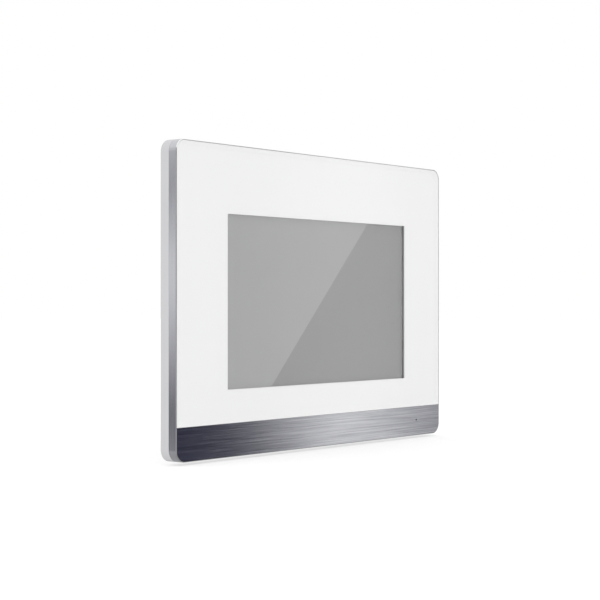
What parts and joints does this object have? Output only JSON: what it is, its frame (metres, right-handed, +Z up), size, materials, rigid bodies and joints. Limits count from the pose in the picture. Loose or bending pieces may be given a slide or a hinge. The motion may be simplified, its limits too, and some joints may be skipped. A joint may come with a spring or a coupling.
{
  "type": "video intercom monitor",
  "caption": "Flat wall-hung video intercom monitor with a white-bordered touch screen, brushed metal frame and chin, grey plastic back and a hook-on wall bracket.",
  "frame": {"origin": "on the wall, at the middle of the wall bracket's back face", "axes": "+X is the viewer's right as they face the screen, +Z is up, +Y points into the wall"},
  "size_m": [0.228, 0.0216, 0.153],
  "materials": {
    "bracket_steel": "zinc-plated sheet, dull",
    "cover_plastic": "light grey ABS, fine moulded texture",
    "pad_rubber": "soft black",
    "label_film": "blank polyester film, satin",
    "screw_steel": "zinc-plated",
    "brushed_aluminium": "brushed lengthwise and anodised",
    "clear_glass": "polished, flush",
    "white_ink": "white enamel ink seen through glass",
    "white_tape": "foam tape",
    "sensor_film": "clear film",
    "black_foam": "closed-cell foam",
    "grey_foam": "light grey closed-cell foam",
    "display_steel": "thin pressed steel",
    "display_face": "idle grey picture under a satin polariser",
    "light_guide": "white reflector film",
    "flex_film": "amber polyimide",
    "chassis_plastic": "dark grey glass-filled plastic",
    "board": "green solder mask",
    "chip_epoxy": "black epoxy",
    "tinned_steel": "bright tin plate",
    "capacitor_sleeve": "aluminium can",
    "ferrite": "dark ferrite",
    "ivory_nylon": "natural nylon",
    "gold_plate": "gold-plated brass",
    "black_plastic": "fine matt",
    "cell_steel": "bright steel",
    "paper_cone": "pressed film cone",
    "red_insulation": "PVC",
    "blue_insulation": "PVC"
  },
  "bodies": {
    "bracket": {"wall_bracket": "bracket_steel"},
    "monitor": {"rear_cover": "cover_plastic", "rear_bumpers": "pad_rubber", "rating_label": "label_film", "cover_screws": "screw_steel", "bezel_frame": "brushed_aluminium", "front_glass": "clear_glass", "ink_border": "white_ink", "glass_tape": "white_tape", "touch_sensor": "sensor_film", "lcd_gasket": "grey_foam", "lcd_bezel": "display_steel", "lcd_panel": "display_face", "lcd_backlight": "light_guide", "lcd_flex": "flex_film", "inner_chassis": "chassis_plastic", "chassis_screws": "screw_steel", "main_pcb": "board", "pcb_screws": "screw_steel", "video_processor": "chip_epoxy", "memory_chips": "chip_epoxy", "shield_can": "tinned_steel", "capacitors": "capacitor_sleeve", "inductors": "ferrite", "crystals": "tinned_steel", "flex_connectors": "ivory_nylon", "door_sockets": "ivory_nylon", "socket_pins": "gold_plate", "card_socket": "tinned_steel", "power_switch": "tinned_steel", "reset_switch": "tinned_steel", "cell_holder": "black_plastic", "coin_cell": "cell_steel", "speaker_frame": "tinned_steel", "speaker_cone": "paper_cone", "speaker_magnet": "ferrite", "speaker_gasket": "black_foam", "speaker_leads": "red_insulation", "microphone": "tinned_steel", "mic_boot": "pad_rubber", "mic_leads": "blue_insulation"},
    "card": {"memory_card": "black_plastic"},
    "knob": {"power_knob": "black_plastic"},
    "reset": {"reset_plunger": "black_plastic"}
  },
  "joints": [
    {"name": "lift_off", "type": "slide", "parent": "bracket", "child": "monitor", "axis": [0, 0, 1], "range_m": [0, 0.0072]},
    {"name": "card_slide", "type": "slide", "parent": "monitor", "child": "card", "axis": [0, 0, -1], "range_m": [0, 0.012]},
    {"name": "power_slide", "type": "slide", "parent": "monitor", "child": "knob", "axis": [1, 0, 0], "range_m": [0, 0.002]},
    {"name": "reset_press", "type": "slide", "parent": "monitor", "child": "reset", "axis": [0, -1, 0], "range_m": [0, 0.0003], "stiffness_N_per_m": 3000}
  ]
}
